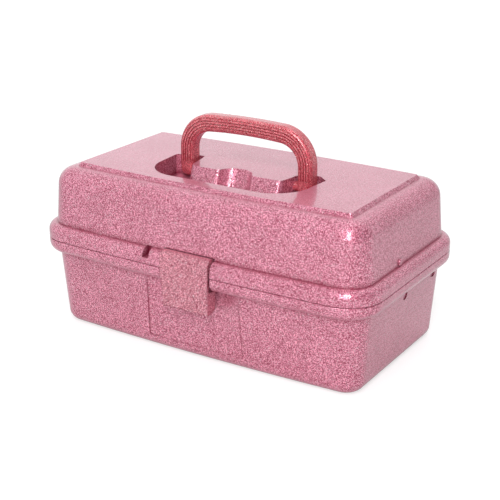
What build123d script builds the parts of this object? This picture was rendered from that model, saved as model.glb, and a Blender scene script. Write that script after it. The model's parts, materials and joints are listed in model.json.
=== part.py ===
from build123d import *
import math
import os

# A moulded storage case with a swing handle, a front clasp and two trays on swing arms.
# Millimetres. X runs along the length, Y to the back, Z up. The origin is the middle of the underside.

# Outer shell
case_length = 320.0
case_width = 177.0
wall_crown = 4.0
corner_radius = 30.0
smallest_corner = 1.5
wall = 2.2
seam_gap = 0.4
overcut = 1.0
level_slack = 0.01

# Base
rim_height = 80.0
rim_drop = 12.0
rim_round = 8.0
rim_overhang = 8.7
base_slope = 0.077
foot_radius = 10.0
seam_edge_round = 0.7

# Lid
band_height = 13.0
band_step = 7.6
band_round = 7.0
wall_sink = 4.0
lid_height = 61.4
lid_slope = 0.0777
shoulder_radius = 15.5
shoulder_ledge = 0.3
panel_rise = 3.1
panel_edge_run = 2.4
panel_sink = 2.0

# Front panel that is set back below the clasp, deepest at its top
recess_top_half = 44.5
recess_low_half = 46.5
recess_flat_half = 28.0
recess_low = 11.0
recess_depth = 11.2
recess_step = 0.4

# Clasp
latch_half_width = 23.5
latch_taper = 1.7
latch_lean = 2.4
latch_proud = 1.4
latch_plate = 2.2
latch_top_radius = 6.0
latch_axis_rise = 9.5
latch_drop = 42.1
latch_side_gap = 1.0
latch_back_gap = 0.7
latch_socket_gap = 0.6
cheek_thickness = 2.0
cheek_depth = 12.6
cheek_height = 17.0
cheek_low_depth = 4.0
cheek_clearance = 0.8
catch_gap = 2.0
lip_clearance = 0.4
lip_drop = 1.5
lip_height = 3.0
latch_pin_radius = 1.5
latch_pin_land = 11.0
latch_pin_end_gap = 0.5
latch_slot_width = 6.5
latch_slot_height = 7.2
latch_slot_depth = 5.5

# Handle and the well that it folds into
handle_half_width = 65.3
handle_leg = 13.8
handle_depth = 14.0
handle_axis_y = 2.0
handle_axis_drop = 8.5
handle_reach = 51.3
handle_grip = 14.5
handle_crown = 3.0
handle_outer_bend = 32.0
handle_inner_bend = 18.0
handle_edge_round = 4.0
groove_count = 5
groove_width = 0.9
groove_depth = 0.8
handle_stub_radius = 4.0
handle_stub_length = 11.5
handle_socket_radius = 7.5
handle_end_gap = 0.5
well_depth = 17.0
well_side_gap = 7.7
well_front_gap = 2.2
well_corner_radius = 32.0
well_channel_back = -17.0
well_leg_inside = 44.5
well_leg_back_gap = 2.5
well_leg_flare = 1.8
well_leg_flare_rise = 1.5
well_leg_bend_x = 3.5
well_leg_bend_y = 3.0
well_leg_inside_run = 5.5
well_edge_round = 5.0
well_block_lean = 7.0
well_notch_half_width = 16.0
well_notch_back = -4.5
well_notch_lead_x = 2.5
well_notch_lead_y = 6.0

# Back hinges
hinge_stand = 9.0
hinge_drop = 1.0
hinge_radius = 5.0
hinge_pin_radius = 2.0
hinge_x = 85.0
lid_knuckle = 16.0
base_knuckle = 10.0
knuckle_gap = 0.4
knuckle_flank = 0.7
base_web_drop = 1.0
lid_web_rise = 8.6

# Tray linkage: pivots in the side walls and in the lid
rear_pivot_y = 53.0
rear_pivot_drop = 17.2
front_pivot_y = 0.3
lid_pivot_y = -16.5
lid_pivot_rise = 16.0
tray_share = 0.5
arm_half_height = 4.0
arm_spacing_gap = 0.56407
arm_thickness = 2.2
arm_wall_gap = 1.4
arm_tray_gap = 0.6
pivot_radius = 2.0
stub_radius = 2.5
pocket_depth = 1.1
front_pocket_radius = 4.0
rear_pocket_length = 9.2
rear_pocket_height = 5.4
rear_pocket_tilt = -18.0
head_radius = 2.8
head_height = 1.0
head_round = 0.7
head_stand = 0.4
lid_pin_overrun = 1.0
journal_end_gap = 0.1
running_gap = 0.05
open_pivot_gap = 0.4

# Trays
tray_wall = 1.8
tray_front_gap = 16.0
lower_tray_back = 10.0
upper_tray_back = 2.0
lower_tray_depth = 28.0
upper_tray_depth = 27.0
tray_gap = 0.6
tray_pin_cover = 3.8
tray_corner = 8.0
tray_divider = 1.5
divider_drop = 4.0
upper_dividers = 3
lower_dividers = 2

# Worked out from the sizes above
half_length = case_length / 2
half_width = case_width / 2
seam = rim_height + seam_gap
band_top = rim_height + band_height
lid_top = rim_height + lid_height
panel_top = lid_top + panel_rise
rim_low = rim_height - rim_drop
front_mid = -(half_width + wall_crown)
recess_face_y = recess_depth - half_width
hinge_y = half_width + hinge_stand
hinge_z = rim_height - hinge_drop
rear_pivot_z = rim_height - rear_pivot_drop
lid_pivot_z = rim_height + lid_pivot_rise
tray_front = tray_front_gap - half_width
latch_axis_height = rim_height + latch_axis_rise
handle_axis_z = panel_top - handle_axis_drop
rise_y = lid_pivot_y - hinge_y
rise_z = lid_pivot_z - hinge_z
arm_reach = math.hypot(rise_y, rise_z)
arm_spacing = (2 * arm_half_height + arm_spacing_gap) * arm_reach / -rise_y
front_pivot_z = rear_pivot_z + (front_pivot_y - rear_pivot_y) * rise_z / rise_y - arm_spacing
arm_end_y = rear_pivot_y + rise_y
arm_end_z = rear_pivot_z + rise_z
arm_mid_y = rear_pivot_y + tray_share * rise_y
arm_mid_z = rear_pivot_z + tray_share * rise_z
short_end_y = front_pivot_y + tray_share * rise_y
short_end_z = front_pivot_z + tray_share * rise_z


def base_inset(z):
    """How far the base wall stands in from the widest outline at a height."""
    return rim_overhang + base_slope * (rim_low - z)


def lid_inset(z):
    """How far the lid wall stands in from the widest outline at a height."""
    return band_step + lid_slope * (z - band_top)


arm_outer_x = half_length - base_inset(rear_pivot_z) - wall - arm_wall_gap
arm_inner_x = arm_outer_x - arm_thickness
tray_half_length = arm_inner_x - arm_tray_gap
upper_tray_low = arm_end_z - tray_pin_cover
lower_tray_top = upper_tray_low - tray_gap
lower_tray_low = lower_tray_top - lower_tray_depth
upper_tray_top = upper_tray_low + upper_tray_depth
latch_axis_y = front_mid - latch_proud + latch_top_radius
latch_face_y = front_mid - latch_proud
latch_back_y = latch_face_y + latch_plate
latch_low = latch_axis_height - latch_drop
latch_socket_radius = latch_top_radius + latch_socket_gap
latch_gap_half = latch_half_width + latch_side_gap
latch_pin_half = latch_gap_half + latch_pin_land
cheek_inner = latch_half_width - latch_taper - cheek_thickness
cheek_top = rim_low - cheek_clearance
cheek_back_y = latch_face_y + cheek_depth
slot_inner = cheek_inner - latch_side_gap
slot_back_y = cheek_back_y + cheek_clearance
catch_face_y = latch_back_y + catch_gap
catch_low = rim_low + rim_round - math.sqrt(rim_round**2 - (rim_round - catch_face_y + front_mid) ** 2)
catch_radius = math.hypot(hinge_y - catch_face_y, hinge_z - catch_low)
lip_top = rim_low - lip_drop
lip_y = hinge_y - math.sqrt((catch_radius + lip_clearance) ** 2 - (hinge_z - lip_top) ** 2)
well_floor = panel_top - well_depth
well_half_width = handle_half_width + well_side_gap
handle_inner_half = handle_half_width - handle_leg
well_front = handle_axis_y - handle_reach - well_front_gap
well_leg_back = handle_axis_y + handle_depth / 2 + well_leg_back_gap
handle_top = handle_axis_z + handle_reach
web_root_y = half_width - wall


def block(x0, x1, y0, y1, z0, z1):
    """A box between two corners."""
    centre = Pos((x0 + x1) / 2, (y0 + y1) / 2, (z0 + z1) / 2)
    return centre * Box(x1 - x0, y1 - y0, z1 - z0)


def rod(x0, x1, y, z, radius):
    """A cylinder along X."""
    turned = Rot(0, 90, 0) * Cylinder(radius, abs(x1 - x0))
    return Pos((x0 + x1) / 2, y, z) * turned


def both_sides(solid):
    """A solid on the right and its mirror image on the left."""
    return solid, mirror(solid, about=Plane.YZ)


def outline(inset, z):
    """The crowned, round-cornered outline of the case, set in from its widest."""
    x = half_length - inset
    y = half_width - inset
    radius = max(corner_radius - inset, smallest_corner)
    front = ThreePointArc((-x, -y), (0, -y - wall_crown), (x, -y))
    right = Line((x, -y), (x, y))
    back = ThreePointArc((x, y), (0, y + wall_crown), (-x, y))
    left = Line((-x, y), (-x, -y))
    face = make_face([front, right, back, left])
    face = fillet(face.vertices(), radius)
    return Pos(0, 0, z) * face


def between(low_inset, low_z, high_inset, high_z):
    """The solid between two outlines."""
    return loft([outline(low_inset, low_z), outline(high_inset, high_z)], ruled=True)


def round_level(solid, z, radius):
    """Rounds the edges of a solid that lie at one height."""
    edges = solid.edges().filter_by_position(Axis.Z, z - level_slack, z + level_slack)
    return fillet(edges, radius)


def section(points, half_x):
    """A closed outline in Y and Z, thick along X."""
    face = make_face(Polyline(*points, close=True))
    placed = Plane.YZ * face
    return extrude(placed, amount=half_x, both=True)


def wall_front(x, z):
    """Where the front of the base wall stands at a place along the length and a height."""
    half_x = half_length - base_inset(z)
    ends_y = half_width - base_inset(z)
    bow = (half_x**2 + wall_crown**2) / (2 * wall_crown)
    return bow - ends_y - wall_crown - math.sqrt(bow**2 - x**2)


def base_body(thick):
    """The base as a full solid, or its hollow when it is set in by a wall."""
    rim_under = rim_low + thick
    lower = between(base_inset(thick) + thick, thick, base_inset(rim_under) + thick, rim_under)
    lower = round_level(lower, thick, foot_radius - thick)
    rim = between(thick, rim_under, thick, rim_height + thick)
    rim = round_level(rim, rim_under, rim_round - thick)
    return lower + rim


def panel_outline(half, flat_y, z, grow):
    """The outline of the room in front of the set-back panel at a height, grown by a wall."""
    edge_y = wall_front(half, z) + recess_step + grow
    points = (
        (-half - grow, -case_width),
        (half + grow, -case_width),
        (half + grow, edge_y),
        (recess_flat_half, flat_y + grow),
        (-recess_flat_half, flat_y + grow),
        (-half - grow, edge_y),
    )
    return make_face(Polyline(*points, close=True))


def panel_room(grow):
    """The room in front of the set-back panel, or that room and the panel's wall."""
    low_y = wall_front(0, recess_low) + recess_step
    low = Pos(0, 0, recess_low - grow) * panel_outline(recess_low_half, low_y, recess_low, grow)
    top = Pos(0, 0, rim_low + grow) * panel_outline(recess_top_half, recess_face_y, rim_low, grow)
    return loft([low, top], ruled=True)


def catch_block():
    """The solid part of the rim behind the clasp, hollow between its two slots."""
    outer = latch_gap_half + wall
    inner = slot_inner - wall
    full = block(-outer, outer, -case_width, slot_back_y + wall, rim_low, rim_height + overcut)
    return full - block(-inner, inner, catch_face_y + wall, 0, rim_low + wall, rim_height + 2 * overcut)


def clasp_room_in_base():
    """The flat behind the clasp's plate and the two slots that its cheeks pass through."""
    low = rim_low - overcut
    high = rim_height + overcut
    room = block(-latch_gap_half, latch_gap_half, -case_width, catch_face_y, low, high)
    slot = block(slot_inner, latch_gap_half, -case_width, slot_back_y, low, high)
    right, left = both_sides(slot)
    return room + right + left


def pivot_hole(y, z, pocket):
    """An arm's pivot hole in the right-hand wall, with a shallow pocket round it outside."""
    floor_x = half_length - base_inset(z) - pocket_depth
    hole = rod(arm_outer_x, half_length, y, z, stub_radius + running_gap)
    lie = Plane(origin=(floor_x, y, z), x_dir=(0, 1, 0), z_dir=(1, 0, 0))
    return hole + extrude(lie * pocket, amount=2 * wall)


def make_base():
    """The base tub: walls, rolled rim, set-back front panel, hinge knuckles and pivot holes."""
    body = round_level(base_body(0.0), rim_height, seam_edge_round)
    body = body - panel_room(0.0)
    ear_reach = base_knuckle + knuckle_gap + lid_knuckle / 2
    for side in (-1, 1):
        for start in (knuckle_gap + lid_knuckle / 2, -ear_reach):
            x0 = side * hinge_x + start
            body = body + base_ear(x0, x0 + base_knuckle)
    hollow = base_body(wall) - panel_room(wall) - catch_block()
    body = body - hollow - clasp_room_in_base()
    front_pocket = Circle(front_pocket_radius)
    rear_pocket = Rot(0, 0, rear_pocket_tilt) * SlotOverall(rear_pocket_length, rear_pocket_height)
    for y, z, pocket in (
        (rear_pivot_y, rear_pivot_z, rear_pocket),
        (front_pivot_y, front_pivot_z, front_pocket),
    ):
        right, left = both_sides(pivot_hole(y, z, pocket))
        body = body - right - left
    return body - rod(-half_length, half_length, hinge_y, hinge_z, hinge_pin_radius)


def ear(x0, x1, web_points):
    """One hinge knuckle with the web that carries it, drawn in Y and Z."""
    knuckle = rod(x0, x1, hinge_y, hinge_z, hinge_radius)
    web = make_face(Polyline(*web_points, close=True))
    placed = Pos(x0, 0, 0) * (Plane.YZ * web)
    return knuckle + extrude(placed, amount=x1 - x0)


def base_ear(x0, x1):
    """One hinge knuckle of the base, carried from below."""
    flank = hinge_radius * knuckle_flank
    web_points = (
        (web_root_y, rim_height - 2 * wall),
        (hinge_y, rim_height - wall - base_web_drop),
        (hinge_y + flank, hinge_z - flank),
        (web_root_y, rim_low + rim_round / 2),
    )
    return ear(x0, x1, web_points)


def lid_ear(x0, x1):
    """One hinge knuckle of the lid, carried from above."""
    flank = hinge_radius * knuckle_flank
    web_low = seam + knuckle_gap
    web_points = (
        (web_root_y, web_low),
        (hinge_y, web_low),
        (hinge_y + flank, hinge_z + flank),
        (web_root_y, web_low + lid_web_rise),
    )
    return ear(x0, x1, web_points)


def lid_body(thick):
    """The lid as a full solid, or its hollow when it is set in by a wall."""
    band = between(thick, seam - thick, thick, band_top - thick)
    band = round_level(band, band_top - thick, band_round - thick)
    wall_low = band_top - wall_sink - thick
    wall_high = lid_top - thick
    high_inset = lid_inset(lid_top)
    walls = between(lid_inset(wall_low) + thick, wall_low, high_inset + thick, wall_high)
    walls = round_level(walls, wall_high, shoulder_radius - thick)
    panel_foot = high_inset + shoulder_radius + shoulder_ledge
    edge_slope = panel_edge_run / panel_rise
    low_inset = panel_foot - edge_slope * panel_sink
    top_inset = panel_foot + panel_edge_run
    panel = between(low_inset + thick, lid_top - panel_sink - thick, top_inset + thick, panel_top - thick)
    return band + walls + panel


def well_outline(grow, lean, z):
    """The outline of the handle well at a height, grown by a wall, its centre block brought forward."""
    side = well_half_width
    arc_x = side - well_corner_radius
    arc_y = well_front + well_corner_radius
    diagonal = well_corner_radius * math.sqrt(0.5)
    notch_x = well_notch_half_width - well_notch_lead_x
    block_y = well_channel_back - lean
    notch_y = block_y + well_notch_lead_y
    front = Line((-arc_x, well_front), (arc_x, well_front))
    corner = ThreePointArc((arc_x, well_front), (arc_x + diagonal, arc_y - diagonal), (side, arc_y))
    back_points = (
        (side, arc_y),
        (side + well_leg_flare, handle_axis_y + well_leg_flare_rise),
        (handle_half_width, well_leg_back),
        (well_leg_inside + well_leg_inside_run, well_leg_back),
        (well_leg_inside + well_leg_bend_x, handle_axis_y + well_leg_bend_y),
        (well_leg_inside, block_y),
        (well_notch_half_width, block_y),
        (notch_x, notch_y),
    )
    right = Polyline(*back_points)
    left = Polyline(*[(-x, y) for x, y in back_points])
    notch = ThreePointArc((notch_x, notch_y), (0, well_notch_back - lean), (-notch_x, notch_y))
    left_corner = ThreePointArc((-arc_x, well_front), (-arc_x - diagonal, arc_y - diagonal), (-side, arc_y))
    face = make_face([front, corner, *right.edges(), notch, *left.edges(), left_corner])
    corners = face.vertices().filter_by_position(Axis.Y, block_y - level_slack, block_y + level_slack)
    face = fillet(corners, well_edge_round)
    if grow > 0:
        face = offset(face, amount=grow, kind=Kind.INTERSECTION)
    return Pos(0, 0, z) * face


def well_room(grow, drop):
    """The room of the handle well, grown by a wall and let down; the front of its centre block slopes."""
    low = well_outline(grow, well_block_lean, well_floor - drop)
    high = well_outline(grow, 0, panel_top - drop)
    return loft([low, high], ruled=True)


def make_lid():
    """The lid: band, walls, raised panel, handle well, clasp socket and hinge knuckles."""
    body = round_level(lid_body(0.0), seam, seam_edge_round)
    for side in (-1, 1):
        body = body + lid_ear(side * hinge_x - lid_knuckle / 2, side * hinge_x + lid_knuckle / 2)
    hollow = lid_body(wall)
    block_back = latch_axis_y + latch_socket_radius + wall
    block_low = latch_axis_height - latch_socket_radius - wall
    block_top = latch_axis_height + latch_socket_radius + wall
    block_left = latch_pin_half + latch_slot_width + wall
    kept = block(-block_left, latch_pin_half, -case_width, block_back, block_low, block_top)
    hollow = hollow - kept - well_room(wall, wall)
    for side in (-1, 1):
        x0 = side * handle_inner_half
        x1 = side * (handle_inner_half - handle_stub_length - wall)
        hollow = hollow - rod(x0, x1, handle_axis_y, handle_axis_z, handle_socket_radius)
    body = body - hollow
    body = body - well_room(0, 0)
    stub_end = handle_inner_half - handle_stub_length - handle_end_gap
    bore = handle_stub_radius + running_gap
    axle_hole = rod(stub_end, handle_inner_half, handle_axis_y, handle_axis_z, bore)
    right, left = both_sides(axle_hole)
    body = body - right - left
    body = body - latch_room_in_lid()
    body = body - rod(-half_length, half_length, lid_pivot_y, lid_pivot_z, pivot_radius)
    body = body - rod(-half_length, half_length, hinge_y, hinge_z, hinge_pin_radius + running_gap)
    under = block(-case_length, case_length, -case_width, half_width + wall_crown, 0, seam)
    return body - under


def latch_room_in_lid():
    """The socket of the clasp barrel, the flat behind its plate, its pin hole and the pin's slot."""
    half = latch_gap_half
    low = latch_axis_height - latch_socket_radius
    high = latch_axis_height + latch_socket_radius
    room = rod(-half, half, latch_axis_y, latch_axis_height, latch_socket_radius)
    ahead = block(-half, half, -case_width, latch_axis_y, low, high)
    flat = block(-half, half, -case_width, latch_back_y + latch_back_gap, 0, latch_axis_height)
    pin_end = latch_pin_half - wall
    hole = rod(-latch_pin_half - overcut, pin_end, latch_axis_y, latch_axis_height, latch_pin_radius)
    slot = block(
        -latch_pin_half - latch_slot_width,
        -latch_pin_half,
        -case_width,
        latch_axis_y + latch_slot_depth,
        band_top - latch_slot_height,
        band_top + overcut,
    )
    return room + ahead + flat + hole + slot


def plate_front(z):
    """Where the front of the clasp's plate stands at a height; it leans in below the rim's top."""
    drop = max(rim_height - z, 0.0)
    return latch_face_y + latch_lean * drop / (rim_height - latch_low)


def make_latch():
    """The front clasp: rolled top, leaning tapered plate, side cheeks and the lip behind it."""
    half = latch_half_width
    low_y = plate_front(latch_low)
    inside = latch_plate / 2
    plate = section(
        (
            (latch_face_y, latch_axis_height),
            (latch_face_y, rim_height),
            (low_y, latch_low),
            (low_y + latch_plate, latch_low),
            (latch_back_y, rim_height),
            (latch_back_y, latch_axis_height),
        ),
        half,
    )
    cheeks = section(
        (
            (plate_front(cheek_top) + inside, cheek_top),
            (cheek_back_y, cheek_top),
            (cheek_back_y, cheek_top - cheek_height),
            (low_y + cheek_low_depth, latch_low),
            (low_y + inside, latch_low),
        ),
        half,
    )
    cheeks = cheeks - block(-cheek_inner, cheek_inner, -case_width, 0, 0, panel_top)
    lip = section(
        (
            (plate_front(lip_top) + inside, lip_top),
            (lip_y, lip_top),
            (lip_y, lip_top - lip_height / 2),
            (plate_front(lip_top - lip_height) + inside, lip_top - 2 * lip_height),
        ),
        cheek_inner + inside,
    )
    low_half = half - latch_taper
    taper = make_face(
        Polyline(
            (-half, panel_top),
            (-half, rim_height),
            (-low_half, latch_low),
            (low_half, latch_low),
            (half, rim_height),
            (half, panel_top),
            close=True,
        )
    )
    tapered = extrude(Plane.XZ * taper, amount=case_width)
    body = ((plate + cheeks) & tapered) + lip
    body = body + rod(-half, half, latch_axis_y, latch_axis_height, latch_top_radius)
    bore = rod(-half_length, half_length, latch_axis_y, latch_axis_height, latch_pin_radius + running_gap)
    return body - bore


def make_latch_pin():
    """The wire pin that the clasp turns on, pushed in through the slot on the left."""
    left = latch_pin_end_gap - latch_pin_half
    right = latch_pin_half - wall
    return rod(left, right, latch_axis_y, latch_axis_height, latch_pin_radius)


def handle_arch(step):
    """A crowned arch between the inside (0) and the outside (1) of the handle, drawn in X and Z."""
    half = handle_half_width - handle_leg * (1 - step)
    top = handle_top - handle_grip * (1 - step)
    bend = handle_inner_bend + (handle_outer_bend - handle_inner_bend) * step
    end_z = top - handle_crown
    right = Line((half, end_z), (half, handle_axis_z))
    foot = Line((half, handle_axis_z), (-half, handle_axis_z))
    left = Line((-half, handle_axis_z), (-half, end_z))
    crown = ThreePointArc((-half, end_z), (0, top), (half, end_z))
    face = make_face([right, foot, left, crown])
    corners = face.vertices().filter_by_position(Axis.Y, end_z - level_slack, end_z + level_slack)
    return fillet(corners, bend)


def handle_band(low, high, y0, y1):
    """The part of the handle between two arches, from one depth to another."""
    ring = handle_arch(high) - handle_arch(low)
    placed = Pos(0, y0, 0) * (Plane.XZ * ring)
    return extrude(placed, amount=y0 - y1)


def make_handle():
    """The swing handle: an arch with grooved faces, round feet and stub axles moulded on."""
    front = handle_axis_y - handle_depth / 2
    back = handle_axis_y + handle_depth / 2
    arch = handle_band(0.0, 1.0, back, front)
    lengthwise = arch.edges().filter_by(
        lambda e: abs(e.center().Y - handle_axis_y) > handle_depth / 2 - level_slack
        and e.center().Z > handle_axis_z + level_slack
    )
    arch = fillet(lengthwise, handle_edge_round)
    for number in range(groove_count):
        middle = (number + 1) / (groove_count + 1)
        share = groove_width / handle_leg / 2
        for y0, y1 in ((front + groove_depth, front - overcut), (back + overcut, back - groove_depth)):
            groove = handle_band(middle - share, middle + share, y0, y1)
            keep_high = handle_axis_z + handle_depth / 2
            groove = groove - block(-case_length, case_length, -case_width, case_width, 0, keep_high)
            arch = arch - groove
    for side in (-1, 1):
        inner = side * handle_inner_half
        foot = rod(inner, side * handle_half_width, handle_axis_y, handle_axis_z, handle_depth / 2)
        foot = fillet(foot.edges().filter_by(GeomType.CIRCLE), handle_edge_round)
        stub_end = side * (handle_inner_half - handle_stub_length)
        middle = inner + side * handle_leg / 2
        stub = rod(stub_end, middle, handle_axis_y, handle_axis_z, handle_stub_radius)
        arch = arch + foot + stub
    return arch


def make_hinge_pin(side):
    """The pin of one back hinge, held in the base's knuckles."""
    half = base_knuckle + knuckle_gap + lid_knuckle / 2
    return rod(side * hinge_x - half, side * hinge_x + half, hinge_y, hinge_z, hinge_pin_radius)


def arm(y, z, length, holes):
    """A flat swing arm with round ends and holes along it, on the right-hand side."""
    bar = SlotCenterToCenter(length, 2 * arm_half_height)
    bar = Pos(length / 2, 0, 0) * bar
    for distance in holes:
        bar = bar - Pos(distance, 0, 0) * Circle(pivot_radius)
    lie = Plane(origin=(arm_inner_x, y, z), x_dir=(0, rise_y, rise_z), z_dir=(1, 0, 0))
    return extrude(lie * bar, amount=arm_thickness)


def make_rear_arm():
    """The long arm, from the base's back pivot to the front of the upper tray."""
    return arm(rear_pivot_y, rear_pivot_z, arm_reach, (0, tray_share * arm_reach, arm_reach))


def make_front_arm():
    """The short arm, from the base's front pivot to the front of the lower tray."""
    return arm(front_pivot_y, front_pivot_z, tray_share * arm_reach, (0, tray_share * arm_reach))


def make_base_stub(y, z):
    """The pin at the foot of an arm: pressed in the arm, turning in the base wall's hole."""
    wall_inside = half_length - base_inset(z) - wall
    journal_end = wall_inside + wall - pocket_depth - journal_end_gap
    journal = rod(wall_inside - arm_wall_gap / 2, journal_end, y, z, stub_radius)
    return journal + rod(arm_inner_x, wall_inside, y, z, pivot_radius)


def make_tray_pin(y, z):
    """The pin from an arm into a tray's side wall; the tray is held between the two arms."""
    return rod(tray_half_length - tray_wall, arm_outer_x, y, z, pivot_radius)


def make_lid_pin():
    """The pin from the lid's side wall into the upper tray, with a round head outside."""
    outside = half_length - lid_inset(lid_pivot_z) + head_stand
    inside = tray_half_length - tray_wall - lid_pin_overrun
    shank = rod(inside, outside, lid_pivot_y, lid_pivot_z, pivot_radius)
    head = rod(outside, outside + head_height, lid_pivot_y, lid_pivot_z, head_radius)
    face_x = outside + head_height
    rim = head.edges().filter_by_position(Axis.X, face_x - level_slack, face_x + level_slack)
    return shank + fillet(rim, head_round)


def tray_box(front, back, low, high, inset):
    """A round-cornered block for a tray or its hollow."""
    length = 2 * (tray_half_length - inset)
    depth = back - front - 2 * inset
    plate = RectangleRounded(length, depth, tray_corner - inset)
    return extrude(Pos(0, (front + back) / 2, low) * plate, amount=high - low)


def make_tray(back, low, high, dividers, fixed_holes, loose_holes):
    """An open tray with cross walls and pin holes in its ends."""
    body = tray_box(tray_front, back, low, high, 0)
    hollow = tray_box(tray_front, back, low + tray_wall, high + overcut, tray_wall)
    room = 2 * (tray_half_length - tray_wall)
    for number in range(dividers):
        x = -room / 2 + room * (number + 1) / (dividers + 1)
        half = tray_divider / 2
        hollow = hollow - block(x - half, x + half, tray_front, back, low, high - divider_drop)
    body = body - hollow
    for y, z in fixed_holes:
        body = body - rod(-half_length, half_length, y, z, pivot_radius + running_gap)
    for y, z in loose_holes:
        body = body - rod(-half_length, half_length, y, z, pivot_radius + open_pivot_gap)
    return body


def make_upper_tray():
    """The upper tray, turning on the long arms and on the lid's pins."""
    return make_tray(
        upper_tray_back,
        upper_tray_low,
        upper_tray_top,
        upper_dividers,
        ((arm_end_y, arm_end_z),),
        ((lid_pivot_y, lid_pivot_z),),
    )


def make_lower_tray():
    """The lower tray, turning on the middle of the long arms and the ends of the short ones."""
    return make_tray(
        lower_tray_back,
        lower_tray_low,
        lower_tray_top,
        lower_dividers,
        ((arm_mid_y, arm_mid_z),),
        ((short_end_y, short_end_z),),
    )


def build():
    """Every piece under its own name."""
    pieces = {
        "base_tub": make_base(),
        "lid_shell": make_lid(),
        "latch_clasp": make_latch(),
        "latch_pin": make_latch_pin(),
        "handle_bail": make_handle(),
        "hinge_pin_left": make_hinge_pin(-1),
        "hinge_pin_right": make_hinge_pin(1),
        "upper_tray": make_upper_tray(),
        "lower_tray": make_lower_tray(),
    }
    paired = {
        "rear_arm": make_rear_arm(),
        "front_arm": make_front_arm(),
        "rear_arm_base_pin": make_base_stub(rear_pivot_y, rear_pivot_z),
        "front_arm_base_pin": make_base_stub(front_pivot_y, front_pivot_z),
        "rear_arm_middle_pin": make_tray_pin(arm_mid_y, arm_mid_z),
        "rear_arm_end_pin": make_tray_pin(arm_end_y, arm_end_z),
        "front_arm_end_pin": make_tray_pin(short_end_y, short_end_z),
        "lid_tray_pin": make_lid_pin(),
    }
    for name, solid in paired.items():
        right, left = both_sides(solid)
        pieces[name + "_right"] = right
        pieces[name + "_left"] = left
    return pieces


os.makedirs("parts", exist_ok=True)
for node, shape in build().items():
    export_step(shape, "parts/" + node + ".step")
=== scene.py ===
"""A moulded storage case with a swing handle, a front clasp and two trays on swing arms."""

import json
import math

import bmesh
import bpy
from bpy.props import FloatProperty, FloatVectorProperty, PointerProperty
from mathutils import Matrix, Vector

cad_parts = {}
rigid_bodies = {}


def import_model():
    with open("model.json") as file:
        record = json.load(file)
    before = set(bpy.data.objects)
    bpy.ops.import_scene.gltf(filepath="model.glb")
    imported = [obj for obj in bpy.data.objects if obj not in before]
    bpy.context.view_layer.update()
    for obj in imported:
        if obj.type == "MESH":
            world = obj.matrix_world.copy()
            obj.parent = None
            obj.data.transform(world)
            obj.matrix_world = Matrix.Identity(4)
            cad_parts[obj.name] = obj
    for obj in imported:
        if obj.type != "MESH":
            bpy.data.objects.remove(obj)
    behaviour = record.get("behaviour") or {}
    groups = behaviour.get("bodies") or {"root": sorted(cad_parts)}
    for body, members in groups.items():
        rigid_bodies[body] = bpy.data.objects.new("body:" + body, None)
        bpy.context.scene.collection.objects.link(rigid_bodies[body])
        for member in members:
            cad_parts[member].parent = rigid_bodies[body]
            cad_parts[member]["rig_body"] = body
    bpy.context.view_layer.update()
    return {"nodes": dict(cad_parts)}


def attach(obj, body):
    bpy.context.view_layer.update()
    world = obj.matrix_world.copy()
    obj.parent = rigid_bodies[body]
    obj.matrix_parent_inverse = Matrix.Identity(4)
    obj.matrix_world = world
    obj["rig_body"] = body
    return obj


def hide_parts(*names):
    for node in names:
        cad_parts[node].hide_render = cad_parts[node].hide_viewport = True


bl_info = {
    "name": "Storage case with trays",
    "version": (1, 0, 0),
    "blender": (4, 5, 0),
    "location": "3D View > Sidebar > Storage Case",
    "description": "Finishes a packed storage case: glitter plastic, ribbed handle, clasp, trays and pins",
    "category": "Object",
}

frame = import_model()
NODES = frame["nodes"]

# Pieces that share a finish
LID_NODES = ("lid_shell", "lid_tray_pin_right", "lid_tray_pin_left")
TRAY_NODES = ("upper_tray", "lower_tray")
ARM_NODES = ("rear_arm_right", "rear_arm_left", "front_arm_right", "front_arm_left")
ARM_PIN_STEMS = ("rear_arm_base_pin", "front_arm_base_pin", "rear_arm_middle_pin", "rear_arm_end_pin",
                 "front_arm_end_pin")
ARM_PINS = tuple(stem + side for stem in ARM_PIN_STEMS for side in ("_right", "_left"))
STEEL_PINS = ("hinge_pin_right", "hinge_pin_left", "latch_pin")

# Places of the colour sockets on a Mix node, whose names repeat for the other kinds of data
MIX_FACTOR, MIX_FIRST, MIX_SECOND, MIX_RESULT = 0, 6, 7, 2

# A Noise texture's detail where a pattern needs no more
PLAIN_DETAIL = 2.0

# A ramp is the four numbers of spread(): the value runs from the first to the second, and the result from the
# third to the fourth. Lengths are in metres.

# Flakes: most are dark or pale, and their contrast fades where the surface is seen at a slant
SHADE_RAMP = (0.4, 0.6, 0.0, 1.0)
CONTRAST_RAMP = (0.45, 0.72, 1.0, 0.35)
MIDDLE_SHADE = 0.5
SPECK_DEPTH = 0.8
METAL_RAMP = (0.0, 1.0, 0.4, 0.75)
SPARKLE_ROUGHNESS = 0.6
FLAKE_SPECULAR = 0.1

# Pigment clouds, and the painted shade that darkens inside corners
CLOUD_DETAIL = 3.0
CLOUD_RAMP = (0.35, 0.7, 0.0, 0.16)
PAINTED_SHADE_REACH = 0.006
PAINTED_SHADE_RAMP = (0.5, 0.9, 1.0, 0.0)
OCCLUSION_SAMPLES = 6

# The clear moulded skin over the flakes
SKIN_IOR = 1.5
RIPPLE_SCALE, RIPPLE_HEIGHT, RIPPLE_STRENGTH = 35.0, 0.0004, 0.35

# The painted shade lines along the step of the set-back front panel: half the way between them by height, and
# their darkness across
PANEL_EDGE_RAMP = (0.011, 0.0763, 0.0465, 0.0445)
PANEL_SHADE_RAMP = (0.0003, 0.0008, 0.7, 0.0)
PANEL_FRONT, PANEL_LOW, PANEL_HIGH = -0.05, 0.012, 0.062

# The painted shade line along the clasp's edges
EDGE_SHADE_REACH = 0.002
EDGE_SHADE_RAMP = (0.5, 0.82, 0.85, 0.0)

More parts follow.
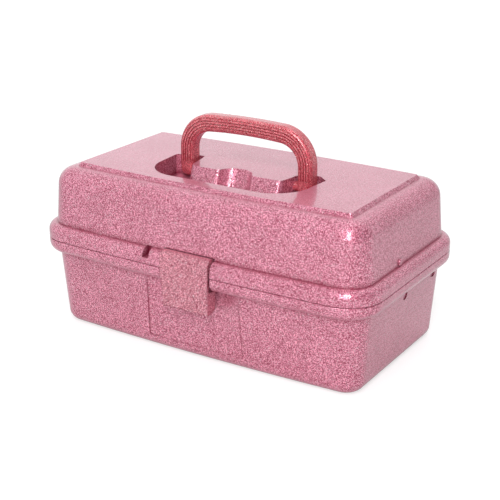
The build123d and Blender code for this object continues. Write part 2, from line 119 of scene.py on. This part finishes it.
# Drawn steel: streaks along X, and tarnish
DRAWN_SCALE = (40.0, 1500.0, 1500.0)
STEEL_COLOUR, TARNISH_COLOUR = (0.56, 0.54, 0.53), (0.34, 0.27, 0.24)
TARNISH_SCALE, TARNISH_DETAIL = 260.0, 4.0
TARNISH_RAMP = (0.45, 0.7, 0.0, 0.7)
TARNISH_ROUGHNESS = 0.2
STREAK_RAMP = (0.3, 0.7, 0.22, 0.38)
STREAK_HEIGHT = 0.00003

# How a piece's sharp edges are found and rounded
MERGE_DISTANCE = 1e-6
FLAT_ANGLE, SHARP_ANGLE = math.radians(0.5), math.radians(35.0)
EDGE_SEGMENTS = 3

# The stage: the floor is brighter to the camera than to the case, and the sky is lighter at left and behind
SENSOR_WIDTH, NEAREST_SEEN = 36.0, 0.01
FLOOR_SIZE = 3.0
FLOOR_SEEN, FLOOR_PLAIN, WHITE = (0.45, 0.45, 0.45), (0.75, 0.75, 0.75), (1.0, 1.0, 1.0)
FLOOR_GLOW_RAMP = (0.5, 1.5, 0.64, 1.0)
SKY_LEFT_RAMP = (-0.7, 0.9, 1.14, 0.27)
SKY_BEHIND_RAMP = (0.1, 0.75, 0.0, 0.28)
LIGHT_AIM = (0.0, 0.0, 0.08)
SOFTBOXES = (
    # name, turn and rise in degrees, distance, width and height in metres, power in watts
    ("key_softbox", 30.0, 38.0, 1.5, 0.38, 1.3, 16.5),
    ("top_softbox", 160.0, 70.0, 1.6, 0.9, 0.9, 2.5),
)


# ---------------------------------------------------------------- settings

def colour(name, description, default):
    """A colour of the sidebar's settings."""
    return FloatVectorProperty(name=name, description=description, subtype="COLOR", size=3, min=0, max=1,
                               default=default)


def share(name, description, default):
    """A number from 0 to 1."""
    return FloatProperty(name=name, description=description, subtype="FACTOR", min=0, max=1, default=default)


def count(name, description, default):
    """How many of something lie along a metre."""
    return FloatProperty(name=name, description=description, min=0, default=default)


def length(name, description, default):
    """A length in metres."""
    return FloatProperty(name=name, description=description, unit="LENGTH", min=0, precision=5,
                         default=default)


def angle(name, description, degrees):
    """An angle."""
    return FloatProperty(name=name, description=description, subtype="ANGLE", default=math.radians(degrees))


class GlitterSettings:
    """Colours, flakes and gloss of a glitter plastic; each piece's settings start from these."""

    dark: colour("Dark flake", "Colour of the darkest flakes", (0.26, 0.016, 0.055))
    pale: colour("Pale flake", "Colour of the palest flakes", (1.0, 0.41, 0.555))
    bright: colour("Sparkle", "Colour of the sparkling flakes", (1.0, 0.78, 0.84))
    # Colour of the dark specks, and of the painted shade in grooves, inside corners and painted shade lines
    speck_and_shade: colour("Specks and painted shade", "Colour in grooves and inside corners", (0.26, 0.012, 0.05))
    flakes: count("Flakes per metre", "How many flakes lie along a metre", 2700.0)
    tilt: share("Tilt", "How far the flakes lean out of the surface", 0.38)
    sparkles: share("Sparkles", "Share of the flakes that sparkle", 0.05)
    specks: share("Specks", "Share of the flakes that are dark specks", 0.08)
    clouds: count("Clouds per metre", "How many clouds of deeper pigment lie along a metre", 28.0)
    rough: share("Flake roughness", "Roughness of the flakes", 0.33)
    skin_rough: share("Skin roughness", "Roughness of the clear moulded skin", 0.06)


class ShellSettings(GlitterSettings, bpy.types.PropertyGroup):
    """The glitter plastic of the base and the lid."""


class ClaspSettings(GlitterSettings, bpy.types.PropertyGroup):
    """The glitter plastic and the edges of the clasp."""

    dark: colour("Dark flake", "Colour of the darkest flakes", (0.22, 0.014, 0.042))
    pale: colour("Pale flake", "Colour of the palest flakes", (1.0, 0.41, 0.51))
    tilt: share("Tilt", "How far the flakes lean out of the surface", 0.45)
    sparkles: share("Sparkles", "Share of the flakes that sparkle", 0.07)
    specks: share("Specks", "Share of the flakes that are dark specks", 0.16)
    skin_rough: share("Skin roughness", "Roughness of the clear moulded skin", 0.07)
    edge: length("Edge", "Radius of the rounded edges", 0.0006)


class HandleSettings(GlitterSettings, bpy.types.PropertyGroup):
    """The coral red glitter plastic of the handle."""

    dark: colour("Dark flake", "Colour of the darkest flakes", (0.36, 0.020, 0.038))
    pale: colour("Pale flake", "Colour of the palest flakes", (1.0, 0.24, 0.29))
    bright: colour("Sparkle", "Colour of the sparkling flakes", (1.0, 0.70, 0.66))
    # Colour of the dark specks, and of the painted shade in grooves and inside corners
    speck_and_shade: colour("Specks and painted shade", "Colour in grooves and inside corners", (0.42, 0.03, 0.05))
    tilt: share("Tilt", "How far the flakes lean out of the surface", 0.55)
    sparkles: share("Sparkles", "Share of the flakes that sparkle", 0.07)
    rough: share("Flake roughness", "Roughness of the flakes", 0.34)
    skin_rough: share("Skin roughness", "Roughness of the clear moulded skin", 0.07)


class InsideSettings(GlitterSettings):
    """The duller, coarser glitter plastic of the trays and the arms."""

    flakes: count("Flakes per metre", "How many flakes lie along a metre", 1350.0)
    tilt: share("Tilt", "How far the flakes lean out of the surface", 0.3)
    sparkles: share("Sparkles", "Share of the flakes that sparkle", 0.02)
    specks: share("Specks", "Share of the flakes that are dark specks", 0.02)
    rough: share("Flake roughness", "Roughness of the flakes", 0.4)
    skin_rough: share("Skin roughness", "Roughness of the clear moulded skin", 0.18)


class TraySettings(InsideSettings, bpy.types.PropertyGroup):
    """The colours and edges of the trays."""

    dark: colour("Dark flake", "Colour of the darkest flakes", (0.55, 0.16, 0.23))
    pale: colour("Pale flake", "Colour of the palest flakes", (0.85, 0.40, 0.50))
    # Colour of the dark specks, and of the painted shade in grooves and inside corners
    speck_and_shade: colour("Specks and painted shade", "Colour in grooves and inside corners", (0.42, 0.06, 0.12))
    edge: length("Edge", "Radius of the rounded edges", 0.0005)


class ArmSettings(InsideSettings, bpy.types.PropertyGroup):
    """The colours of the swing arms and their pins, and the arms' edges."""

    dark: colour("Dark flake", "Colour of the darkest flakes", (0.45, 0.10, 0.17))
    pale: colour("Pale flake", "Colour of the palest flakes", (0.72, 0.26, 0.36))
    # Colour of the dark specks, and of the painted shade in grooves and inside corners
    speck_and_shade: colour("Specks and painted shade", "Colour in grooves and inside corners", (0.32, 0.03, 0.08))
    edge: length("Edge", "Radius of the rounded edges", 0.0004)


class StageSettings(bpy.types.PropertyGroup):
    """The camera of the stage."""

    lens: FloatProperty(name="Lens", description="Focal length of the camera in millimetres", unit="CAMERA",
                        default=82.99)
    azimuth: angle("Azimuth", "Camera's turn round the case", 32.405)
    elevation: angle("Elevation", "Camera's height as an angle", 20.578)
    roll: angle("Roll", "Camera's roll", -0.171)
    place: FloatVectorProperty(name="Camera place", description="Where the camera stands",
                               subtype="TRANSLATION", unit="LENGTH", size=3,
                               default=(0.50225, -0.78526, 0.42071))


# ---------------------------------------------------------------- shading helpers

def add_node(tree, kind, **settings):
    """Adds a node and sets its plain settings."""
    node = tree.nodes.new(kind)
    for name, value in settings.items():
        setattr(node, name, value)
    return node


def feed(tree, entry, value):
    """Feeds an input from another node's output, or sets its own number or colour."""
    if isinstance(value, bpy.types.NodeSocket):
        tree.links.new(value, entry)
    elif isinstance(value, float):
        entry.default_value = value
    else:
        entry.default_value = (*value, 1.0)


def maths(tree, operation, first, second=0.0, clamp=False):
    """A Math node on outputs or numbers; returns its output."""
    node = add_node(tree, "ShaderNodeMath", operation=operation, use_clamp=clamp)
    feed(tree, node.inputs[0], first)
    feed(tree, node.inputs[1], second)
    return node.outputs[0]


def mixed(tree, factor, first, second):
    """A colour Mix node on outputs or colours; returns its output."""
    node = add_node(tree, "ShaderNodeMix", data_type="RGBA", blend_type="MIX")
    for place, value in ((MIX_FACTOR, factor), (MIX_FIRST, first), (MIX_SECOND, second)):
        feed(tree, node.inputs[place], value)
    return node.outputs[MIX_RESULT]


def spread(tree, value, low, high, out_low, out_high):
    """A Map Range node; returns its output."""
    node = add_node(tree, "ShaderNodeMapRange")
    tree.links.new(value, node.inputs["Value"])
    for name, number in (("From Min", low), ("From Max", high), ("To Min", out_low), ("To Max", out_high)):
        node.inputs[name].default_value = number
    return node.outputs["Result"]


def noise(tree, vector, scale, detail=PLAIN_DETAIL):
    """A Noise texture on a vector; returns its value."""
    node = add_node(tree, "ShaderNodeTexNoise")
    feed(tree, node.inputs["Scale"], scale)
    node.inputs["Detail"].default_value = detail
    tree.links.new(vector, node.inputs["Vector"])
    return node.outputs["Fac"]


def occlusion(tree, reach, inside=False):
    """An Ambient Occlusion node that sees only its own piece; returns its value."""
    node = add_node(tree, "ShaderNodeAmbientOcclusion", inside=inside, only_local=True,
                    samples=OCCLUSION_SAMPLES)
    node.inputs["Distance"].default_value = reach
    return node.outputs["AO"]


def new_group(name, inputs, outputs):
    """An empty node group with number inputs; returns it with its input and output nodes."""
    group = bpy.data.node_groups.new(name, "ShaderNodeTree")
    for label in inputs:
        group.interface.new_socket(name=label, in_out="INPUT", socket_type="NodeSocketFloat")
    for label, kind in outputs:
        group.interface.new_socket(name=label, in_out="OUTPUT", socket_type=kind)
    return group, add_node(group, "NodeGroupInput"), add_node(group, "NodeGroupOutput")


def glitter_group():
    """Flakes in clear plastic: a shade, sparkles, specks and a tilted normal, each even over one flake."""
    found = bpy.data.node_groups.get("Glitter flakes")
    if found:
        return found
    group, ins, outs = new_group(
        "Glitter flakes",
        ("Flakes per metre", "Tilt", "Sparkle share", "Speck share"),
        (("Shade", "NodeSocketFloat"), ("Sparkle", "NodeSocketFloat"), ("Speck", "NodeSocketFloat"),
         ("Normal", "NodeSocketVector")))
    place = add_node(group, "ShaderNodeTexCoord")
    cells = add_node(group, "ShaderNodeTexVoronoi", voronoi_dimensions="3D", feature="F1")
    group.links.new(place.outputs["Object"], cells.inputs["Vector"])
    group.links.new(ins.outputs["Flakes per metre"], cells.inputs["Scale"])
    parts = add_node(group, "ShaderNodeSeparateColor")
    group.links.new(cells.outputs["Color"], parts.inputs[0])
    red, green = parts.outputs[0], parts.outputs[1]
    group.links.new(red, outs.inputs["Shade"])
    sparkle = maths(group, "GREATER_THAN", green, maths(group, "SUBTRACT", 1.0, ins.outputs["Sparkle share"]))
    group.links.new(sparkle, outs.inputs["Sparkle"])
    speck = maths(group, "LESS_THAN", green, ins.outputs["Speck share"])
    group.links.new(speck, outs.inputs["Speck"])
    centred = add_node(group, "ShaderNodeVectorMath", operation="SUBTRACT")
    group.links.new(cells.outputs["Color"], centred.inputs[0])
    centred.inputs[1].default_value = (MIDDLE_SHADE, MIDDLE_SHADE, MIDDLE_SHADE)
    scaled = add_node(group, "ShaderNodeVectorMath", operation="SCALE")
    group.links.new(centred.outputs[0], scaled.inputs[0])
    group.links.new(ins.outputs["Tilt"], scaled.inputs["Scale"])
    face = add_node(group, "ShaderNodeNewGeometry")
    tilted = add_node(group, "ShaderNodeVectorMath", operation="ADD")
    group.links.new(face.outputs["Normal"], tilted.inputs[0])
    group.links.new(scaled.outputs[0], tilted.inputs[1])
    level = add_node(group, "ShaderNodeVectorMath", operation="NORMALIZE")
    group.links.new(tilted.outputs[0], level.inputs[0])
    group.links.new(level.outputs[0], outs.inputs["Normal"])
    return group


def clouds_and_shade_group():
    """Slow clouds in the pigment, and a mask of painted shade in the inside corners, taken from ambient
    occlusion.
    """
    found = bpy.data.node_groups.get("Clouds and painted shade")
    if found:
        return found
    group, ins, outs = new_group("Clouds and painted shade", ("Clouds per metre",),
                                 (("Cloud", "NodeSocketFloat"), ("Painted shade", "NodeSocketFloat")))
    place = add_node(group, "ShaderNodeTexCoord")
    cloud = noise(group, place.outputs["Object"], ins.outputs["Clouds per metre"], CLOUD_DETAIL)
    group.links.new(spread(group, cloud, *CLOUD_RAMP), outs.inputs["Cloud"])
    # Painted shade: ambient occlusion darkens the inside corners
    group.links.new(spread(group, occlusion(group, PAINTED_SHADE_REACH), *PAINTED_SHADE_RAMP), outs.inputs["Painted shade"])
    return group


def group_node(tree, group, values):
    """Places a node group and sets its inputs by name."""
    node = add_node(tree, "ShaderNodeGroup", node_tree=group)
    for name, value in values.items():
        node.inputs[name].default_value = value
    return node


def fresh_material(name):
    """An empty material; returns it with its tree and its output node."""
    material = bpy.data.materials.new(name)
    material.use_nodes = True
    tree = material.node_tree
    tree.nodes.clear()
    return material, tree, add_node(tree, "ShaderNodeOutputMaterial")


def principled_material(name):
    """A material with a Principled BSDF; returns the material, its tree and the shader."""
    material, tree, end = fresh_material(name)
    shader = add_node(tree, "ShaderNodeBsdfPrincipled")
    tree.links.new(shader.outputs[0], end.inputs["Surface"])
    return material, tree, shader


def glitter_plastic(name, look, painted_lines=None):
    """Clear coloured plastic filled with fine flakes under a smooth moulded skin.

    The look is a piece's settings. The painted lines are a function that makes a mask of lines of painted
    shade, drawn in the colour of the specks and the painted shade.
    """
    material, tree, shader = principled_material(name)
    flakes = group_node(tree, glitter_group(), {"Flakes per metre": look.flakes, "Tilt": look.tilt,
                                                "Sparkle share": look.sparkles, "Speck share": look.specks})
    shading = group_node(tree, clouds_and_shade_group(), {"Clouds per metre": look.clouds})

    facing = add_node(tree, "ShaderNodeLayerWeight").outputs["Facing"]
    clear = spread(tree, facing, *CONTRAST_RAMP)
    shade = maths(tree, "SUBTRACT", spread(tree, flakes.outputs["Shade"], *SHADE_RAMP), MIDDLE_SHADE)
    shade = maths(tree, "ADD", maths(tree, "MULTIPLY", shade, clear), MIDDLE_SHADE)
    speck = maths(tree, "MULTIPLY", flakes.outputs["Speck"], maths(tree, "MULTIPLY", clear, SPECK_DEPTH))
    sparkle = maths(tree, "MULTIPLY", flakes.outputs["Sparkle"], clear)

    base = mixed(tree, shade, look.dark, look.pale)
    base = mixed(tree, shading.outputs["Cloud"], base, look.dark)
    base = mixed(tree, speck, base, look.speck_and_shade)
    # Painted shade in the grooves and inside corners
    base = mixed(tree, shading.outputs["Painted shade"], base, look.speck_and_shade)
    if painted_lines:
        # Painted shade lines: along the set-back panel's step on the base, or along the clasp's edges
        base = mixed(tree, painted_lines(tree), base, look.speck_and_shade)
    base = mixed(tree, sparkle, base, look.bright)
    tree.links.new(base, shader.inputs["Base Color"])

    tree.links.new(spread(tree, sparkle, *METAL_RAMP), shader.inputs["Metallic"])
    rough = spread(tree, flakes.outputs["Sparkle"], 0.0, 1.0, look.rough, look.rough * SPARKLE_ROUGHNESS)
    tree.links.new(rough, shader.inputs["Roughness"])
    tree.links.new(flakes.outputs["Normal"], shader.inputs["Normal"])
    shader.inputs["Specular IOR Level"].default_value = FLAKE_SPECULAR

    shader.inputs["Coat Weight"].default_value = 1.0
    shader.inputs["Coat Roughness"].default_value = look.skin_rough
    shader.inputs["Coat IOR"].default_value = SKIN_IOR
    place = add_node(tree, "ShaderNodeTexCoord")
    skin = add_node(tree, "ShaderNodeBump")
    skin.inputs["Distance"].default_value = RIPPLE_HEIGHT
    skin.inputs["Strength"].default_value = RIPPLE_STRENGTH
    tree.links.new(noise(tree, place.outputs["Object"], RIPPLE_SCALE), skin.inputs["Height"])
    tree.links.new(skin.outputs[0], shader.inputs["Coat Normal"])
    return material


def panel_step_shade(tree):
    """Two thin lines of painted shade along the step where the set-back front panel begins; they draw
    together towards the top.
    """
    place = add_node(tree, "ShaderNodeTexCoord")
    axes = add_node(tree, "ShaderNodeSeparateXYZ")
    tree.links.new(place.outputs["Object"], axes.inputs[0])
    along, depth, height = axes.outputs
    edge = spread(tree, height, *PANEL_EDGE_RAMP)
    off = maths(tree, "ABSOLUTE", maths(tree, "SUBTRACT", maths(tree, "ABSOLUTE", along), edge))
    line = spread(tree, off, *PANEL_SHADE_RAMP)
    front = maths(tree, "MULTIPLY", line, maths(tree, "LESS_THAN", depth, PANEL_FRONT))
    below = maths(tree, "LESS_THAN", height, PANEL_HIGH)
    above = maths(tree, "GREATER_THAN", height, PANEL_LOW)
    return maths(tree, "MULTIPLY", front, maths(tree, "MULTIPLY", below, above))


def clasp_edge_shade(tree):
    """A thin line of painted shade along the edges of a plate, found by inside ambient occlusion."""
    return spread(tree, occlusion(tree, EDGE_SHADE_REACH, inside=True), *EDGE_SHADE_RAMP)


def drawn_steel(name):
    """Drawn steel wire with fine streaks along it and a little tarnish."""
    material, tree, shader = principled_material(name)
    place = add_node(tree, "ShaderNodeTexCoord")
    drawn = add_node(tree, "ShaderNodeMapping")
    drawn.inputs["Scale"].default_value = DRAWN_SCALE
    tree.links.new(place.outputs["Object"], drawn.inputs["Vector"])
    streak = noise(tree, drawn.outputs[0], 1.0)
    stain = spread(tree, noise(tree, place.outputs["Object"], TARNISH_SCALE, TARNISH_DETAIL), *TARNISH_RAMP)
    tree.links.new(mixed(tree, stain, STEEL_COLOUR, TARNISH_COLOUR), shader.inputs["Base Color"])
    rough = maths(tree, "ADD", spread(tree, streak, *STREAK_RAMP),
                  maths(tree, "MULTIPLY", stain, TARNISH_ROUGHNESS))
    tree.links.new(rough, shader.inputs["Roughness"])
    lines = add_node(tree, "ShaderNodeBump")
    lines.inputs["Distance"].default_value = STREAK_HEIGHT
    tree.links.new(streak, lines.inputs["Height"])
    tree.links.new(lines.outputs[0], shader.inputs["Normal"])
    shader.inputs["Metallic"].default_value = 1.0
    return material


# ---------------------------------------------------------------- piece helpers

def give(piece, material):
    """Puts one material on a piece."""
    piece.data.materials.clear()
    piece.data.materials.append(material)


def shaped(bm, name):
    """Turns a bmesh into an object of the scene."""
    mesh = bpy.data.meshes.new(name)
    bm.to_mesh(mesh)
    bm.free()
    piece = bpy.data.objects.new(name, mesh)
    bpy.context.scene.collection.objects.link(piece)
    return piece


def softened(node, name, material, radius):
    """Makes a merged copy of a CAD node with rounded edges, which stands for it and rides on its body."""
    body = NODES[node]["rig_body"]
    bm = bmesh.new()
    bm.from_mesh(NODES[node].data)
    bmesh.ops.remove_doubles(bm, verts=bm.verts, dist=MERGE_DISTANCE)
    bmesh.ops.dissolve_limit(bm, angle_limit=FLAT_ANGLE, verts=bm.verts, edges=bm.edges)
    bm.normal_update()
    sharp = [e for e in bm.edges if len(e.link_faces) == 2 and e.calc_face_angle() > SHARP_ANGLE]
    bmesh.ops.bevel(bm, geom=sharp, offset=radius, offset_type="OFFSET", segments=EDGE_SEGMENTS, profile=0.5,
                    affect="EDGES", clamp_overlap=True, material=-1)
    piece = shaped(bm, name)
    piece.data.shade_smooth()
    piece.modifiers.new("face normals", "WEIGHTED_NORMAL").keep_sharp = True
    give(piece, material)
    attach(piece, body)
    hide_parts(node)


# ---------------------------------------------------------------- stage helpers

def way_out(turn, rise):
    """The direction from the case that is turned from the front and raised by these angles."""
    return Vector((math.sin(turn) * math.cos(rise), -math.cos(turn) * math.cos(rise), math.sin(rise)))


def pick_shader(tree, choice, plain, seen, end):
    """Sends the plain shader to the output where the choice is 0, and the seen one where it is 1."""
    pick = add_node(tree, "ShaderNodeMixShader")
    tree.links.new(choice, pick.inputs[0])
    tree.links.new(plain.outputs[0], pick.inputs[1])
    tree.links.new(seen.outputs[0], pick.inputs[2])
    tree.links.new(pick.outputs[0], end.inputs["Surface"])


def photo_camera(scene, s):
    """The camera at the photograph's viewing angle."""
    camera_data = bpy.data.cameras.new("photo_camera")
    camera = bpy.data.objects.new("photo_camera", camera_data)
    scene.collection.objects.link(camera)
    back = way_out(s.azimuth, s.elevation)
    ahead = -back
    right = ahead.cross(Vector((0, 0, 1))).normalized()
    up = right.cross(ahead)
    turn_right = math.cos(s.roll) * right + math.sin(s.roll) * up
    turn_up = -math.sin(s.roll) * right + math.cos(s.roll) * up
    placed = Matrix((turn_right, turn_up, back)).transposed().to_4x4()
    placed.translation = Vector(s.place)
    camera.matrix_world = placed
    camera_data.lens = s.lens
    camera_data.sensor_width = SENSOR_WIDTH
    camera_data.clip_start = NEAREST_SEEN
    scene.camera = camera


def pale_floor():
    """A plain floor that keeps the shadow near the case and is white to the camera further out."""
    bm = bmesh.new()
    bmesh.ops.create_grid(bm, x_segments=1, y_segments=1, size=FLOOR_SIZE)
    floor = shaped(bm, "floor")
    material, tree, end = fresh_material("pale_floor")
    matt = add_node(tree, "ShaderNodeBsdfDiffuse")
    feed(tree, matt.inputs["Color"], FLOOR_SEEN)
    glow = add_node(tree, "ShaderNodeEmission")
    place = add_node(tree, "ShaderNodeTexCoord")
    away = add_node(tree, "ShaderNodeVectorMath", operation="LENGTH")
    tree.links.new(place.outputs["Object"], away.inputs[0])
    tree.links.new(spread(tree, away.outputs["Value"], *FLOOR_GLOW_RAMP), glow.inputs["Strength"])
    seen = add_node(tree, "ShaderNodeAddShader")
    tree.links.new(matt.outputs[0], seen.inputs[0])
    tree.links.new(glow.outputs[0], seen.inputs[1])
    plain = add_node(tree, "ShaderNodeBsdfDiffuse")
    feed(tree, plain.inputs["Color"], FLOOR_PLAIN)
    path = add_node(tree, "ShaderNodeLightPath")
    direct = maths(tree, "ADD", path.outputs["Is Camera Ray"], path.outputs["Is Transmission Ray"],
                   clamp=True)
    pick_shader(tree, direct, plain, seen, end)
    give(floor, material)


def soft_world(scene):
    """A soft sky that is white to the camera."""
    world = bpy.data.worlds.new("soft_studio")
    world.use_nodes = True
    scene.world = world
    tree = world.node_tree
    tree.nodes.clear()
    end = add_node(tree, "ShaderNodeOutputWorld")
    light = add_node(tree, "ShaderNodeBackground")
    place = add_node(tree, "ShaderNodeTexCoord")
    ways = add_node(tree, "ShaderNodeSeparateXYZ")
    tree.links.new(place.outputs["Generated"], ways.inputs[0])
    left = spread(tree, ways.outputs[0], *SKY_LEFT_RAMP)
    behind = spread(tree, ways.outputs[1], *SKY_BEHIND_RAMP)
    tree.links.new(maths(tree, "ADD", left, behind), light.inputs["Strength"])
    path = add_node(tree, "ShaderNodeLightPath")
    white = add_node(tree, "ShaderNodeBackground")
    feed(tree, white.inputs["Color"], WHITE)
    pick_shader(tree, path.outputs["Is Camera Ray"], light, white, end)


def softbox(scene, name, turn, rise, distance, wide, tall, power):
    """A rectangular soft lamp that is aimed at the case."""
    aim = Vector(LIGHT_AIM)
    spot = aim + distance * way_out(math.radians(turn), math.radians(rise))
    lamp_data = bpy.data.lights.new(name, "AREA")
    lamp_data.shape = "RECTANGLE"
    lamp_data.size = wide
    lamp_data.size_y = tall
    lamp_data.energy = power
    lamp = bpy.data.objects.new(name, lamp_data)
    scene.collection.objects.link(lamp)
    lamp.location = spot
    lamp.rotation_euler = (aim - spot).to_track_quat("-Z", "Y").to_euler()


# ---------------------------------------------------------------- pieces

class CASE_OT_shell(bpy.types.Operator):
    """Finishes the base and the lid in glitter plastic"""

    bl_idname = "storage_case.shell"
    bl_label = "Shell"

    def execute(self, context):
        s = context.scene.case_shell
        material = glitter_plastic("glitter_shell", s)
        for name in LID_NODES:
            give(NODES[name], material)
        # The base gets painted shade lines along the step of its set-back front panel
        give(NODES["base_tub"], glitter_plastic("glitter_base", s, painted_lines=panel_step_shade))
        return {"FINISHED"}


class CASE_OT_clasp(bpy.types.Operator):
    """Rounds the clasp's edges and finishes it"""

    bl_idname = "storage_case.clasp"
    bl_label = "Clasp"

    def execute(self, context):
        s = context.scene.case_clasp
        # The clasp gets a painted shade line along its edges
        material = glitter_plastic("glitter_clasp", s, painted_lines=clasp_edge_shade)
        softened("latch_clasp", "clasp_cover", material, s.edge)
        return {"FINISHED"}


class CASE_OT_handle(bpy.types.Operator):
    """Finishes the swing handle"""

    bl_idname = "storage_case.handle"
    bl_label = "Handle"

    def execute(self, context):
        give(NODES["handle_bail"], glitter_plastic("handle_red", context.scene.case_handle))
        return {"FINISHED"}


class CASE_OT_trays(bpy.types.Operator):
    """Rounds the edges of the two trays and their arms and finishes them"""

    bl_idname = "storage_case.trays"
    bl_label = "Trays and arms"

    def execute(self, context):
        for nodes, slot_name, s in ((TRAY_NODES, "tray_pink", context.scene.case_trays),
                                    (ARM_NODES, "arm_pink", context.scene.case_arms)):
            material = glitter_plastic(slot_name, s)
            for name in nodes:
                softened(name, name + "_moulded", material, s.edge)
        return {"FINISHED"}


class CASE_OT_pins(bpy.types.Operator):
    """Finishes the steel pins, and gives the arms' pins the plastic of the arms"""

    bl_idname = "storage_case.pins"
    bl_label = "Pins"

    def execute(self, context):
        material = drawn_steel("pin_steel")
        for name in STEEL_PINS:
            give(NODES[name], material)
        for name in ARM_PINS:
            give(NODES[name], bpy.data.materials["arm_pink"])
        return {"FINISHED"}


class CASE_OT_stage(bpy.types.Operator):
    """Sets the camera, the floor and the soft light"""

    bl_idname = "storage_case.stage"
    bl_label = "Stage"

    def execute(self, context):
        scene = context.scene
        photo_camera(scene, scene.case_stage)
        pale_floor()
        soft_world(scene)
        for row in SOFTBOXES:
            softbox(scene, *row)
        scene.view_settings.view_transform = "Standard"
        return {"FINISHED"}


class CASE_PT_panel(bpy.types.Panel):
    """Lists the pieces of the storage case."""

    bl_label = "Storage Case"
    bl_space_type = "VIEW_3D"
    bl_region_type = "UI"
    bl_category = "Storage Case"

    def draw(self, context):
        for operator in OPERATORS:
            self.layout.operator(operator.bl_idname)


OPERATORS = (CASE_OT_shell, CASE_OT_clasp, CASE_OT_handle, CASE_OT_trays, CASE_OT_pins, CASE_OT_stage)
SETTINGS = (ShellSettings, ClaspSettings, HandleSettings, TraySettings, ArmSettings, StageSettings)
CLASSES = (*SETTINGS, *OPERATORS, CASE_PT_panel)


def register():
    """Registers the classes and hangs the settings on the scene."""
    for made in CLASSES:
        bpy.utils.register_class(made)
    bpy.types.Scene.case_shell = PointerProperty(type=ShellSettings)
    bpy.types.Scene.case_clasp = PointerProperty(type=ClaspSettings)
    bpy.types.Scene.case_handle = PointerProperty(type=HandleSettings)
    bpy.types.Scene.case_trays = PointerProperty(type=TraySettings)
    bpy.types.Scene.case_arms = PointerProperty(type=ArmSettings)
    bpy.types.Scene.case_stage = PointerProperty(type=StageSettings)


def unregister():
    """Takes the settings and the classes away again."""
    del bpy.types.Scene.case_stage
    del bpy.types.Scene.case_arms
    del bpy.types.Scene.case_trays
    del bpy.types.Scene.case_handle
    del bpy.types.Scene.case_clasp
    del bpy.types.Scene.case_shell
    for made in reversed(CLASSES):
        bpy.utils.unregister_class(made)


def main():
    """Makes every piece in order."""
    register()
    bpy.ops.storage_case.shell()
    bpy.ops.storage_case.clasp()
    bpy.ops.storage_case.handle()
    bpy.ops.storage_case.trays()
    bpy.ops.storage_case.pins()
    bpy.ops.storage_case.stage()


if __name__ == "__main__":
    main()
